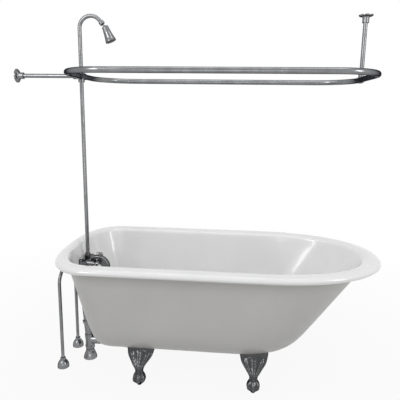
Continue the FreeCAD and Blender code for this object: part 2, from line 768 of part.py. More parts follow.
def foot_shape():
    """A foot that faces -Y: a ball in a claw, a slim ankle and a leafed knee, with its bolting tongue."""
    rounds = [Part.Wire(Part.Circle(Vector(0, 0, height), Vector(0, 0, 1), reach).toShape())
              for height, reach in ball_levels()]
    ball = Part.makeLoft(rounds, True, False)
    wires = []
    for height, half_width, half_depth, back in leg_levels():
        if half_width > half_depth:
            ellipse = Part.Ellipse(Vector(0, back, height), half_width, half_depth)
        else:
            ellipse = Part.Circle(Vector(0, back, height), Vector(0, 0, 1), half_width)
        wires.append(Part.Wire(ellipse.toShape()))
    pieces = [Part.makeLoft(wires, True, False)]
    for turn in TALON_TURNS:
        out = Vector(math.sin(math.radians(turn)), -math.cos(math.radians(turn)), 0)
        places = []
        for number, share in enumerate(TALON_LEVELS):
            thickness = float(talon_radius) * (1 - TALON_TAPER * number)
            height = float(ankle_height) * share
            reach = ball_reach(height) - thickness * (1 - TALON_PROUD)
            places.append((out * reach + Vector(0, 0, height), thickness))
        pieces.append(rod_through(places))
    levels = list(leg_levels())[:LEAF_LEVELS]
    for turn in LEAF_TURNS:
        sideways = math.sin(math.radians(turn))
        outward = math.cos(math.radians(turn))
        places = []
        for number, (height, half_width, half_depth, back) in enumerate(levels):
            point = Vector(half_width * sideways, back - half_depth * outward, height)
            places.append((point, float(talon_radius) * (LEAF_STALK + LEAF_SPREAD * number)))
        pieces.append(rod_through(places))
    tongue_length = float(feet_y - foot_lug_y)
    tongue_radius = float(foot_lug_radius)
    tongue_bottom = float(lug_bottom - foot_tongue_thickness)
    thickness = float(foot_tongue_thickness)
    pieces.append(Part.makeBox(2 * tongue_radius, tongue_length, thickness,
                               Vector(-tongue_radius, 0, tongue_bottom)))
    pieces.append(Part.makeCylinder(tongue_radius, thickness, Vector(0, tongue_length, tongue_bottom)))
    foot = ball
    for piece in pieces:
        foot = foot.fuse(piece)
    hole = Part.makeCylinder(float(foot_bolt_radius + bolt_play), 2 * thickness,
                             Vector(0, tongue_length, tongue_bottom - thickness / 2))
    return foot.cut(hole)


near_foot = foot_shape()
for name, (foot_x, side) in feet.items():
    facing = UPRIGHT if side < 0 else Rotation(Vector(0, 0, 1), 180)
    leg = feature(name + "_leg", near_foot, (foot_x, feet_y * side, 0), facing)
    node(cut(name, leg, [tub_outer]))

# Bolts and washers that hold the feet
bolts = []
washers = []
tongue_under = lug_bottom - foot_tongue_thickness
for name, (foot_x, side) in feet.items():
    washer_spot = (foot_x, foot_lug_y * side, tongue_under - foot_washer_thickness)
    washers.append(sleeve(name + "_washer", foot_washer_radius, foot_bolt_radius + bolt_play,
                          foot_washer_thickness, washer_spot))
    head_spot = (foot_x, foot_lug_y * side, tongue_under - foot_washer_thickness - foot_bolt_head_height)
    head = hexagon(name + "_bolt_head", foot_bolt_head_radius, foot_bolt_head_height, head_spot)
    shank_length = foot_bolt_head_height + foot_washer_thickness + foot_tongue_thickness + foot_lug_drop * 0.8
    shank = cylinder(name + "_bolt_shank", foot_bolt_radius, shank_length, head_spot)
    bolts.append(fuse(name + "_bolt", [head, shank]))
node(group("foot_bolts", bolts))
node(group("foot_washers", washers))

# Waste: strainer, stopper, gasket, shoe, tee, tailpiece and floor bell
strainer_ring = turned("strainer_ring", [
    (strainer_bore_radius, -strainer_tube_drop),
    (strainer_tube_radius, -strainer_tube_drop),
    (strainer_tube_radius, 0),
    (strainer_flange_radius, 0),
    (strainer_flange_radius - strainer_flange_thickness, strainer_flange_thickness),
    (strainer_tube_radius, strainer_flange_thickness),
    (strainer_bore_radius, strainer_flange_thickness / 2),
], (waste_hole_x, 0, floor_top))
bar_bottom = floor_top - strainer_tube_drop
bar_reach = strainer_bore_radius + (strainer_tube_radius - strainer_bore_radius) / 2
strainer_bars = [
    primitive("Box", "strainer_bar_along", (waste_hole_x - bar_reach, -strainer_bar_width / 2, bar_bottom),
              Length=bar_reach * 2, Width=strainer_bar_width, Height=strainer_bar_width),
    primitive("Box", "strainer_bar_across", (waste_hole_x - strainer_bar_width / 2, -bar_reach, bar_bottom),
              Length=strainer_bar_width, Width=bar_reach * 2, Height=strainer_bar_width),
    cylinder("strainer_guide", stopper_stem_radius + strainer_bar_width, strainer_bar_width * 2,
             (waste_hole_x, 0, bar_bottom)),
]
stem_hole = cylinder("strainer_stem_hole", stopper_stem_radius + running_fit, strainer_bar_width * 2,
                     (waste_hole_x, 0, bar_bottom))
node(cut("waste_strainer", fuse("strainer_casting", [strainer_ring] + strainer_bars), [stem_hole]))

stopper_seat = strainer_flange_thickness + stopper_seat_gap
stopper_top = stopper_seat + stopper_thickness
knob_top = stopper_top + stopper_knob_height
node(turned("waste_stopper", [
    (0, -strainer_tube_drop - stopper_tail),
    (stopper_stem_radius, -strainer_tube_drop - stopper_tail),
    (stopper_stem_radius, stopper_seat),
    (stopper_radius, stopper_seat),
    (stopper_radius, stopper_seat + stopper_thickness / 3),
    (stopper_knob_radius, stopper_top),
    (stopper_knob_radius * 0.6, stopper_top + stopper_knob_height * 0.4),
    (stopper_knob_radius, stopper_top + stopper_knob_height * 0.7),
    (stopper_knob_radius * 0.6, knob_top),
    (0, knob_top),
], (waste_hole_x, 0, floor_top)))

gasket_bottom = underside_height - waste_gasket_thickness
node(sleeve("waste_gasket", shoe_flange_radius, waste_hole_radius, waste_gasket_thickness,
            (waste_hole_x, 0, gasket_bottom)))

shoe_tube_end = tee_branch - tube_depth_in_tee
bowl_bottom = waste_height - waste_tube_radius - waste_tube_wall * 2
shoe_solids = [
    cylinder("shoe_flange", shoe_flange_radius, shoe_flange_thickness,
             (waste_hole_x, 0, gasket_bottom - shoe_flange_thickness)),
    cylinder("shoe_bowl", shoe_bowl_radius, gasket_bottom - bowl_bottom, (waste_hole_x, 0, bowl_bottom)),
    cylinder("shoe_tube", waste_tube_radius, waste_hole_x - shoe_tube_end, (shoe_tube_end, 0, waste_height),
             ALONG_X),
]
shoe_bores = [
    cylinder("shoe_bowl_bore", strainer_tube_radius + slip_fit, gasket_bottom - bowl_bottom,
             (waste_hole_x, 0, bowl_bottom + waste_tube_wall * 3)),
    cylinder("shoe_tube_bore", waste_tube_radius - waste_tube_wall, waste_hole_x - shoe_tube_end,
             (shoe_tube_end, 0, waste_height), ALONG_X),
]
node(cut("drain_shoe", fuse("shoe_casting", shoe_solids), shoe_bores))

leaning = (Vector(0, 1, 0), -overflow_lean)


def lean_spot(distance):
    """A point on the leaning overflow stack, at a distance from the middle of the tee."""
    return (-distance * sine(overflow_lean), 0, waste_height + distance * cosine(overflow_lean))


tee_bottom = waste_height - tee_half_height
tee_centre = (0, 0, waste_height)
tube_socket = waste_tube_radius + slip_fit
tee_passage = waste_tube_radius - waste_tube_wall
socket_start = tee_half_height - tube_depth_in_tee
tee_solids = [
    sphere("tee_middle", tee_radius, tee_centre),
    cylinder("tee_lower_hub", tee_radius, tee_half_height, (0, 0, tee_bottom)),
    cylinder("tee_upper_hub", tee_radius, tee_half_height, tee_centre, leaning),
    cylinder("tee_branch_hub", tee_radius, tee_branch, tee_centre, ALONG_X),
]
tee_bores = [
    cylinder("tee_lower_socket", tube_socket, tube_depth_in_tee, (0, 0, tee_bottom)),
    cylinder("tee_lower_passage", tee_passage, tee_half_height, (0, 0, tee_bottom)),
    cylinder("tee_upper_socket", tube_socket, tube_depth_in_tee, lean_spot(socket_start), leaning),
    cylinder("tee_upper_passage", tee_passage, tee_half_height, tee_centre, leaning),
    cylinder("tee_branch_socket", tube_socket, tube_depth_in_tee, (shoe_tube_end, 0, waste_height), ALONG_X),
    cylinder("tee_branch_passage", tee_passage, tee_branch, tee_centre, ALONG_X),
]
node(cut("waste_tee", fuse("tee_casting", tee_solids), tee_bores))

node(hex_nut("shoe_slip_nut", slip_nut_radius, slip_nut_length, [(tube_socket, 0, slip_nut_length)],
             (tee_branch, 0, waste_height), ALONG_X))
node(hex_nut("tail_slip_nut", slip_nut_radius, slip_nut_length, [(tube_socket, 0, slip_nut_length)],
             (0, 0, tee_bottom - slip_nut_length)))
node(sleeve("tailpiece", waste_tube_radius, waste_tube_radius - waste_tube_wall,
            tee_bottom + tube_depth_in_tee, (0, 0, 0)))


BELL_COLLAR = 0.22
BELL_RIM = 0.1


def floor_bell(label, base, top, height, dome, tube, at):
    """A spun bell that covers a pipe where it leaves the floor: a rim, a dome and a collar."""
    bore = tube + slip_fit
    shoulder = height * (1 - BELL_COLLAR)
    rim = height * BELL_RIM
    return turned(label, [
        (base - bell_skin, 0),
        (base, 0),
        (base, rim, dome),
        (top, shoulder),
        (top, height),
        (bore, height),
        (bore, shoulder - bell_skin, -dome),
        (base - bell_skin, rim),
    ], at)


node(floor_bell("drain_floor_bell", bell_base_radius, bell_top_radius, bell_height, bell_dome_radius,
                waste_tube_radius, (0, 0, 0)))

# Overflow: the leaning stack, its elbow, gasket, plate and screws
elbow_depth = ((overflow_x + (overflow_height - waste_height) * tangent(overflow_lean))
               / (cosine(drain_end_lean) + sine(drain_end_lean) * tangent(overflow_lean)))
elbow_height = overflow_height - elbow_depth * sine(drain_end_lean)
elbow_distance = (elbow_height - waste_height) / cosine(overflow_lean)
upper_end = elbow_distance - overflow_socket_length / 3


def stack_tube(label, outer, inner, start, end):
    return turned(label, [(inner, start), (outer, start), (outer, end), (inner, end)], tee_centre, leaning)


node(stack_tube("overflow_lower_tube", waste_tube_radius, waste_tube_radius - waste_tube_wall, socket_start,
                overflow_joint))
node(stack_tube("overflow_upper_tube", overflow_tube_radius, overflow_tube_radius - waste_tube_wall,
                overflow_joint - overflow_overlap, upper_end))
node(hex_nut("overflow_slip_nut", slip_nut_radius, slip_nut_length,
             [(overflow_tube_radius + slip_fit, 0, slip_nut_length)], lean_spot(overflow_joint), leaning))

flange_depth = overflow_gasket_thickness + overflow_flange_thickness
socket_top = elbow_distance - overflow_socket_length
elbow_solids = [
    cylinder("elbow_socket", overflow_socket_radius, overflow_socket_length, lean_spot(socket_top), leaning),
    sphere("elbow_middle", overflow_socket_radius, lean_spot(elbow_distance)),
    cylinder("elbow_outlet", overflow_socket_radius * 0.9, elbow_depth - overflow_gasket_thickness,
             overflow_spot(-elbow_depth), inward),
    cylinder("elbow_flange", overflow_flange_radius, overflow_flange_thickness, overflow_spot(-flange_depth),
             inward),
]
elbow_bores = [
    cylinder("elbow_tube_socket", overflow_tube_radius + slip_fit, upper_end - socket_top,
             lean_spot(socket_top), leaning),
    cylinder("elbow_rise", overflow_bore_radius, overflow_socket_length, lean_spot(socket_top), leaning),
    cylinder("elbow_bore", overflow_bore_radius, elbow_depth, overflow_spot(-elbow_depth), inward),
]
screws = []
screw_holes = []
plate_back = tub_wall + overflow_plate_gap
plate_face = plate_back + overflow_plate_thickness
screw_start = -flange_depth
for side in (-1, 1):
    spread = overflow_screw_spread * side
    start_x, middle, start_z = overflow_spot(screw_start)
    shank = cylinder("overflow_screw_shank_%d" % (side + 1), overflow_screw_radius, plate_face - screw_start,
                     (start_x, spread, start_z), inward)
    face_x, middle, face_z = overflow_spot(plate_face)
    head = cylinder("overflow_screw_head_%d" % (side + 1), overflow_screw_head_radius,
                    overflow_screw_head_height, (face_x, spread, face_z), inward)
    screws.append(fuse("overflow_screw_%d" % (side + 1), [shank, head]))
    screw_holes.append(cylinder("overflow_screw_hole_%d" % (side + 1), overflow_screw_radius + slip_fit,
                                plate_face - screw_start, (start_x, spread, start_z), inward))
node(cut("overflow_elbow", fuse("elbow_casting", elbow_solids), elbow_bores + screw_holes))

node(sleeve("overflow_gasket", overflow_flange_radius, overflow_hole_radius,
            overflow_gasket_thickness - overflow_gasket_gap, overflow_spot(-overflow_gasket_thickness), inward))

SLOT_COUNT = 3
plate_blank = turned("overflow_plate_blank", [
    (0, 0),
    (overflow_plate_radius, 0),
    (overflow_plate_radius, overflow_plate_thickness * 0.4),
    (overflow_plate_radius * 0.8, overflow_plate_thickness),
    (0, overflow_plate_thickness),
], overflow_spot(plate_back), inward)
plate_slots = []
for number in range(SLOT_COUNT):
    drop = overflow_bore_radius * (0.7 * (number - 1))
    slot_x, middle, slot_z = overflow_spot(tub_wall / 2)
    plate_slots.append(primitive("Box", "overflow_slot_%d" % number,
                                 (slot_x + drop * sine(drain_end_lean) - tub_wall * 2,
                                  -overflow_bore_radius,
                                  slot_z - drop * cosine(drain_end_lean) - overflow_screw_radius / 2),
                                 Length=tub_wall * 6, Width=overflow_bore_radius * 2,
                                 Height=overflow_screw_radius))
node(cut("overflow_plate", plate_blank, plate_slots + screw_holes))
node(group("overflow_screws", screws))

# The tap body: a manifold across the tub with two shanks through the wall and two valve bosses
shank_end_x = wall_out_x - shank_reach
flange_back_x = wall_in_x + shank_flange_radius * tangent(drain_end_lean) + shank_wedge
boss_end_x = riser_x + valve_boss_reach
spout_base_x = riser_x + spout_boss_reach
half_manifold = faucet_centres / 2 + manifold_end
body_solids = [
    cylinder("tap_manifold", manifold_radius, half_manifold * 2, (riser_x, -half_manifold, faucet_height),
             ALONG_Y),
    cylinder("tap_spout_boss", spout_base_height / 2, spout_boss_reach, (riser_x, 0, faucet_height), ALONG_X),
    cylinder("tap_riser_boss", riser_boss_radius, riser_boss_rise, (riser_x, 0, faucet_height)),
]
body_bores = [cylinder("tap_riser_bore", riser_radius - riser_wall, riser_boss_rise,
                       (riser_x, 0, faucet_height))]
for name, side_y in (("hot", hot_y), ("cold", cold_y)):
    axis = (riser_x, side_y, faucet_height)
    body_solids += [
        cylinder(name + "_shank", shank_radius, riser_x - shank_end_x, axis, BACK_ALONG_X),
        cylinder(name + "_shank_flange", shank_flange_radius, shank_flange_thickness,
                 (flange_back_x, side_y, faucet_height), ALONG_X),
        cylinder(name + "_valve_boss", valve_boss_radius, valve_boss_reach, axis, ALONG_X),
    ]
    body_bores += [
        cylinder(name + "_shank_bore", shank_bore_radius, riser_x - shank_end_x, axis, BACK_ALONG_X),
        cylinder(name + "_stem_bore", stem_radius + running_fit, stem_depth,
                 (boss_end_x - stem_depth, side_y, faucet_height), ALONG_X),
    ]
node(cut("tap_body", fuse("tap_casting", body_solids), body_bores))

# Wedge washers on both faces of the leaning wall, locknuts and the supplies' coupling nuts
gasket_face_x = wall_out_x - shank_gasket_depth
collar_bore_end = supply_nut_grip + supply_collar_thickness + slip_fit
wedges = []
locknuts = []
supply_nuts = []
for name, side_y in (("hot", hot_y), ("cold", cold_y)):
    inner_start = (wall_out_x - shank_gasket_depth, side_y, faucet_height)
    inner_wedge = sleeve(name + "_inner_blank", shank_flange_radius, shank_radius + slip_fit,
                         flange_back_x - gasket_face_x, inner_start, ALONG_X)
    wedges.append(common(name + "_inner_wedge", inner_wedge, tub_basin))
    outer_wedge = sleeve(name + "_outer_blank", shank_gasket_radius, shank_radius + slip_fit,
                         wall_in_x - gasket_face_x, inner_start, ALONG_X)
    wedges.append(cut(name + "_outer_wedge", outer_wedge, [tub_outer]))
    locknuts.append(hex_nut(name + "_locknut", locknut_radius, locknut_thickness,
                            [(shank_radius + slip_fit, 0, locknut_thickness)],
                            (gasket_face_x - locknut_thickness, side_y, faucet_height), ALONG_X))
    supply_nuts.append(hex_nut(name + "_supply_nut", supply_nut_radius, supply_nut_length,
                               [(shank_radius + slip_fit, 0, collar_bore_end),
                                (supply_radius + slip_fit, collar_bore_end, supply_nut_length)],
                               (shank_end_x + supply_nut_grip, side_y, faucet_height), BACK_ALONG_X))
node(group("shank_wedges", wedges))
node(group("shank_locknuts", locknuts))
node(group("supply_nuts", supply_nuts))

# Valves: bonnet, stem, cross handle and cap on each side
bonnet_end_x = boss_end_x + bonnet_length
hub_x = bonnet_end_x + handle_gap
stem_grip = handle_hub_length * 0.7
for name, side_y in (("hot", hot_y), ("cold", cold_y)):
    bore = stem_radius + running_fit
    node(turned(name + "_bonnet", [
        (bore, 0),
        (valve_boss_radius, 0),
        (valve_boss_radius, bonnet_length * 0.2),
        (bonnet_radius, bonnet_length * 0.3),
        (bonnet_radius, bonnet_length * 0.7),
        (stem_radius * 1.8, bonnet_length),
        (bore, bonnet_length),
    ], (boss_end_x, side_y, faucet_height), ALONG_X))
    node(turned(name + "_stem", [
        (0, 0),
        (stem_radius, 0),
        (stem_radius, stem_depth + bonnet_length + handle_gap + stem_grip),
        (0, stem_depth + bonnet_length + handle_gap + stem_grip),
    ], (boss_end_x - stem_depth, side_y, faucet_height), ALONG_X))
    hub = turned(name + "_hub", [
        (0, 0),
        (handle_hub_radius * 0.75, 0),
        (handle_hub_radius, handle_hub_length * 0.3),
        (handle_hub_radius, handle_hub_length * 0.8),
        (handle_cap_radius, handle_hub_length),
        (0, handle_hub_length),
    ], (hub_x, side_y, faucet_height), ALONG_X)
    arm_x = hub_x + handle_hub_length * 0.55
    arms = [hub]
    for number, (turn, step_y, step_z) in enumerate(((ALONG_Y, 1, 0), (UPRIGHT, 0, 1))):
        reach_y = handle_arm_reach * step_y
        reach_z = handle_arm_reach * step_z
        low = (arm_x, side_y - reach_y, faucet_height - reach_z)
        high = (arm_x, side_y + reach_y, faucet_height + reach_z)
        arms.append(cylinder("%s_arm_%d" % (name, number), handle_arm_radius, handle_arm_reach * 2, low, turn))
        arms.append(sphere("%s_low_ball_%d" % (name, number), handle_ball_radius, low))
        arms.append(sphere("%s_high_ball_%d" % (name, number), handle_ball_radius, high))
    socket = cylinder(name + "_handle_socket", stem_radius + slip_fit, stem_grip,
                      (hub_x, side_y, faucet_height), ALONG_X)
    node(cut(name + "_handle", fuse(name + "_cross", arms), [socket]))
    node(turned(name + "_cap", [
        (0, 0),
        (handle_cap_radius, 0),
        (handle_cap_radius, handle_cap_height * 0.4),
        (handle_cap_radius * 0.6, handle_cap_height),
        (0, handle_cap_height),
    ], (hub_x + handle_hub_length, side_y, faucet_height), ALONG_X))

# Spout: a flat-cheeked quarter round that turns down, with its waterway
spout_flat_end = spout_reach - spout_curve
spout_shoulder = spout_curve - spout_rise
spout_step = spout_rise - spout_base_height / 2
spout_back_curve = (spout_flat_start * spout_flat_start + spout_step * spout_step) / (spout_step * 2)
spout_blank = new_body("spout_blank", (spout_base_x, 0, faucet_height))
spout_side = chain(spout_blank, "XZ_Plane", "_outline", [
    (0, -spout_base_height / 2),
    (spout_belly, -spout_base_height / 2),
    (spout_reach - spout_depth, -spout_drop),
    (spout_reach, -spout_drop),
    (spout_reach, -spout_shoulder, spout_curve),
    (spout_flat_end, spout_rise),
    (spout_flat_start, spout_rise, spout_back_curve),
    (0, spout_base_height / 2),
], True)
spout_pad = spout_blank.newObject("PartDesign::Pad", "spout_pad")
spout_pad.Profile = spout_side
spout_pad.SideType = "Symmetric"
bind(spout_pad, "Length", spout_width)
spout_blank.Tip = spout_pad
doc.recompute()
cheek = float(spout_width) / 2
nose = float(spout_reach)
cheek_edges = ["Edge%d" % (number + 1) for number, edge in enumerate(spout_pad.Shape.Edges)
               if all(abs(abs(corner.Y) - cheek) < 0.001 for corner in edge.Vertexes)
               and all(corner.Z > 0 or corner.X > nose - 0.001 for corner in edge.Vertexes)]
spout_fillet = spout_blank.newObject("PartDesign::Fillet", "spout_fillet")
spout_fillet.Base = (spout_pad, cheek_edges)
bind(spout_fillet, "Radius", spout_round)
spout_blank.Tip = spout_fillet
outlet_x = spout_base_x + spout_reach - spout_depth / 2
waterway_radius = spout_depth / 2 - spout_skin
spout_bores = [
    cylinder("spout_outlet", waterway_radius, spout_drop, (outlet_x, 0, faucet_height - spout_drop)),
    cylinder("spout_waterway", waterway_radius, outlet_x - spout_base_x, (spout_base_x, 0, faucet_height),
             ALONG_X),
    cylinder("spout_diverter_hole", diverter_stem_radius + running_fit, diverter_stem_depth,
             (spout_base_x + diverter_set_out, 0, faucet_height + spout_rise - diverter_stem_depth)),
]
node(cut("spout", spout_blank, spout_bores))

# Diverter on top of the spout: its gland and a two-armed handle
diverter_spot = (spout_base_x + diverter_set_out, 0, faucet_height + spout_rise)
node(turned("diverter_gland", [
    (diverter_stem_radius + running_fit, 0),
    (diverter_base_radius, 0),
    (diverter_base_radius, diverter_base_height * 0.5),
    (diverter_base_radius * 0.7, diverter_base_height),
    (diverter_stem_radius + running_fit, diverter_base_height),
], diverter_spot))
diverter_arm_z = diverter_spot[2] + diverter_handle_height
diverter_low = (diverter_spot[0] - diverter_arm_reach, 0, diverter_arm_z)
diverter_high = (diverter_spot[0] + diverter_arm_reach, 0, diverter_arm_z)
node(fuse("diverter_handle", [
    cylinder("diverter_stem", diverter_stem_radius, diverter_stem_depth + diverter_handle_height,
             (diverter_spot[0], 0, diverter_spot[2] - diverter_stem_depth)),
    sphere("diverter_hub", diverter_arm_radius * 1.6, (diverter_spot[0], 0, diverter_arm_z)),
    cylinder("diverter_arms", diverter_arm_radius, diverter_arm_reach * 2, diverter_low, ALONG_X),
    sphere("diverter_low_ball", diverter_ball_radius, diverter_low),
    sphere("diverter_high_ball", diverter_ball_radius, diverter_high),
]))

# Riser with its gooseneck, and the nut that holds it on the tap
riser_base = faucet_height + riser_boss_rise
node(hex_nut("riser_nut", riser_nut_radius, riser_nut_length,
             [(riser_boss_radius + slip_fit, 0, riser_nut_grip),
              (riser_radius + slip_fit, riser_nut_grip, riser_nut_length)],
             (riser_x, 0, riser_base - riser_nut_grip)))
riser_rise = gooseneck_height - riser_base
arc_across = gooseneck_radius - gooseneck_radius * cosine(gooseneck_turn)
arc_up = riser_rise + gooseneck_radius * sine(gooseneck_turn)
tip_across = arc_across + gooseneck_tail * sine(gooseneck_turn)
tip_up = arc_up + gooseneck_tail * cosine(gooseneck_turn)
node(bent_in_plane("riser", "XZ_Plane", "XY_Plane", [
    (0, 0),
    (0, riser_rise, -gooseneck_radius),
    (arc_across, arc_up),
    (tip_across, tip_up),
], riser_radius, riser_wall, (riser_x, 0, riser_base)))

# Shower head on its ball joint
tip = (riser_x + tip_across, 0, riser_base + tip_up)
along_tail = (Vector(0, 1, 0), gooseneck_turn)
nut_end = head_nut_length - head_nut_grip
ball_depth = nut_end + head_neck_length + head_ball_radius
neck_meets_ball = ball_depth - (head_ball_radius * head_ball_radius - head_neck_radius * head_neck_radius).root()
node(turned("head_ball", [
    (0, 0),
    (riser_radius + slip_fit, 0),
    (riser_radius + slip_fit, -head_nut_grip),
    (head_nut_radius, -head_nut_grip),
    (head_nut_radius, nut_end * 0.6),
    (head_nut_radius * 0.75, nut_end),
    (head_neck_radius, nut_end),
    (head_neck_radius, neck_meets_ball, head_ball_radius),
    (0, ball_depth + head_ball_radius),
], tip, along_tail))

head_angle = gooseneck_turn + head_rest_tilt
along_head = (Vector(0, 1, 0), head_angle)
ball_spot = (tip[0] + ball_depth * sine(gooseneck_turn), 0, tip[2] + ball_depth * cosine(gooseneck_turn))
cup_radius = head_ball_radius + head_seal_gap


def cup_width(height):
    """Radius of the ball's cup at a height along the head's axis from the ball's centre."""
    return (cup_radius * cup_radius - height * height).root()


seal_start = head_ball_radius * 0.25
seal_lip = head_ball_radius * 0.8
seal_end = head_ball_radius + head_seal_wall
collar_top = -head_ball_radius * 0.5
collar_step = seal_start - slip_fit * 2
collar_bore = head_collar_radius - head_collar_wall
seal_radius = collar_bore - slip_fit
collar_end = seal_end + head_collar_grip
node(turned("head_seal", [
    (cup_width(seal_start), seal_start),
    (seal_radius, seal_start),
    (seal_radius, seal_end),
    (cup_width(seal_lip), seal_end),
    (cup_width(seal_lip), seal_lip, -cup_radius),
], ball_spot, along_head))
node(turned("head_collar", [
    (cup_width(collar_top), collar_top),
    (head_collar_radius - head_collar_wall, collar_top),
    (head_collar_radius, collar_top + head_collar_wall),
    (head_collar_radius, collar_end),
    (collar_bore, collar_end),
    (collar_bore, collar_step),
    (cup_width(collar_step), collar_step, -cup_radius),
], ball_spot, along_head))
head_end = collar_end + head_body_length
plate_seat = head_end - spray_plate_thickness
plate_bore = head_body_face_radius - head_body_wall
inlet_radius = cup_width(seal_lip)
node(turned("head_body", [
    (inlet_radius, seal_end),
    (seal_radius, seal_end),
    (seal_radius, collar_end),
    (head_body_top_radius, collar_end),
    (head_body_top_radius, collar_end + head_body_length * 0.15),
    (head_body_face_radius - head_body_wall, head_end - head_body_length * 0.28),
    (head_body_face_radius, head_end - head_body_length * 0.14),
    (head_body_face_radius, head_end),
    (plate_bore, head_end),
    (plate_bore, plate_seat),
    (plate_bore - head_body_wall, plate_seat),
    (plate_bore - head_body_wall * 2, head_end - head_body_length * 0.3),
    (inlet_radius, collar_end + head_body_wall * 2),
], ball_spot, along_head))


def head_spot(across, side, depth):
    """A point on the head: across its face in the plane of the gooseneck, sideways and along its axis."""
    return (ball_spot[0] + depth * sine(head_angle) + across * cosine(head_angle), side,
            ball_spot[2] + depth * cosine(head_angle) - across * sine(head_angle))


spray_blank = turned("spray_blank", [
    (0, plate_seat),
    (plate_bore - slip_fit, plate_seat),
    (plate_bore - slip_fit, head_end),
    (0, head_end),
], ball_spot, along_head)
spray_holes = []
for ring_number, (ring_radius, hole_count) in enumerate(((spray_ring_radius, spray_hole_count),
                                                         (spray_ring_radius / 2, spray_hole_count / 2))):
    for number in range(int(float(hole_count))):
        bearing = 360 / hole_count * number
        spot = head_spot(ring_radius * cosine(bearing), ring_radius * sine(bearing), plate_seat)
        spray_holes.append(cylinder("spray_hole_%d_%d" % (ring_number, number), spray_hole_radius,
                                    spray_plate_thickness, spot, along_head))
node(cut("spray_plate", spray_blank, spray_holes))

# Ring hub on the riser
hub_centre = (riser_x, 0, ring_height)
hub_solids = [
    cylinder("hub_sockets", hub_socket_radius, hub_socket_reach * 2, (riser_x, -hub_socket_reach, ring_height),
             ALONG_Y),
    cylinder("hub_collar", hub_collar_radius, hub_collar_half_height * 2,
             (riser_x, 0, ring_height - hub_collar_half_height)),
    cylinder("hub_stay_socket", hub_collar_radius, hub_socket_reach, hub_centre, BACK_ALONG_X),
]
hub_bores = [
    cylinder("hub_riser_bore", riser_radius + slip_fit, hub_collar_half_height * 2,
             (riser_x, 0, ring_height - hub_collar_half_height)),
    cylinder("hub_stay_bore", stay_radius + slip_fit, hub_socket_reach - hub_socket_stop,
             (riser_x - hub_socket_stop, 0, ring_height), BACK_ALONG_X),
]
hub_screws = []
for name, side, turn in (("near", -1, BACK_ALONG_Y), ("far", 1, ALONG_Y)):
    hub_bores.append(cylinder(name + "_ring_socket", ring_tube_radius + slip_fit,
                              hub_socket_reach - hub_socket_stop,
                              (riser_x, hub_socket_stop * side, ring_height), turn))
    screw_y = (hub_socket_stop + hub_socket_reach) / 2 * side
    screw_z = ring_height + ring_tube_radius + slip_fit
    screw_length = hub_socket_radius - ring_tube_radius - slip_fit + hub_screw_head_height
    hub_bores.append(cylinder(name + "_screw_hole", hub_screw_radius + slip_fit, screw_length,
                              (riser_x, screw_y, screw_z)))
    shank = cylinder(name + "_screw_shank", hub_screw_radius, screw_length, (riser_x, screw_y, screw_z))
    head = cylinder(name + "_screw_head", hub_screw_head_radius, hub_screw_head_height,
                    (riser_x, screw_y, ring_height + hub_socket_radius))
    hub_screws.append(fuse(name + "_hub_screw", [shank, head]))
node(cut("ring_hub", fuse("hub_casting", hub_solids), hub_bores))
node(group("hub_screws", hub_screws))

# The ring in two bent halves, with a spigot inside their joint at the round end
half_ring = ring_width / 2
for name, side in (("ring_near", -1), ("ring_far", 1)):
    bend = -ring_corner * side
    corner_y = (half_ring - ring_corner - hub_socket_stop) * side
    run_y = (half_ring - hub_socket_stop) * side
    node(bent_in_plane(name, "XY_Plane", "XZ_Plane", [
        (0, 0),
        (0, corner_y, bend),
        (ring_corner, run_y),
        (ring_length - ring_corner, run_y, bend),
        (ring_length, corner_y),
        (ring_length, -hub_socket_stop * side),
    ], ring_tube_radius, ring_tube_wall, (riser_x, hub_socket_stop * side, ring_height)))
ring_end_x = riser_x + ring_length
node(cylinder("ring_spigot", ring_tube_radius - ring_tube_wall - slip_fit, ring_joint_length,
              (ring_end_x, -ring_joint_length / 2, ring_height), ALONG_Y))

# Stays to the wall and to the ceiling, with their flanges


def stay_flange(label, at, turn):
    """A screwed-down flange with a socket for a stay; its screw holes are left open."""
    blank = turned(label + "_blank", [
        (0, 0),
        (flange_radius, 0),
        (flange_radius, flange_thickness * 0.5),
        (flange_radius - flange_thickness * 0.6, flange_thickness),
        (flange_hub_radius + flange_thickness * 0.5, flange_thickness * 1.3),
        (flange_hub_radius, flange_thickness * 2.2),
        (flange_hub_radius, flange_hub_length),
        (stay_radius + slip_fit, flange_hub_length),
        (stay_radius + slip_fit, flange_hub_length - flange_socket_depth),
        (0, flange_hub_length - flange_socket_depth),
    ], at, turn)
    holes = []
    for number in range(int(float(flange_bolt_count))):
        bearing = 360 / flange_bolt_count * number + 90
        reach = flange_bolt_circle / 2
        across = reach * cosine(bearing)
        up = reach * sine(bearing)
        along_x = turn is ALONG_X
        spot = ((at[0], at[1] + across, at[2] + up) if along_x
                else (at[0] + across, at[1] + up, at[2]))
        holes.append(cylinder("%s_hole_%d" % (label, number), flange_bolt_radius, flange_thickness * 2,
                              spot, turn))
    return cut(label, blank, holes)


flange_floor = flange_hub_length - flange_socket_depth
wall_stay_end = wall_face_x + flange_floor
wall_stay_start = riser_x - hub_socket_stop
node(stay_flange("wall_flange", (wall_face_x, 0, ring_height), ALONG_X))
node(sleeve("wall_stay", stay_radius, stay_radius - stay_wall, wall_stay_start - wall_stay_end,
            (wall_stay_end, 0, ring_height), ALONG_X))

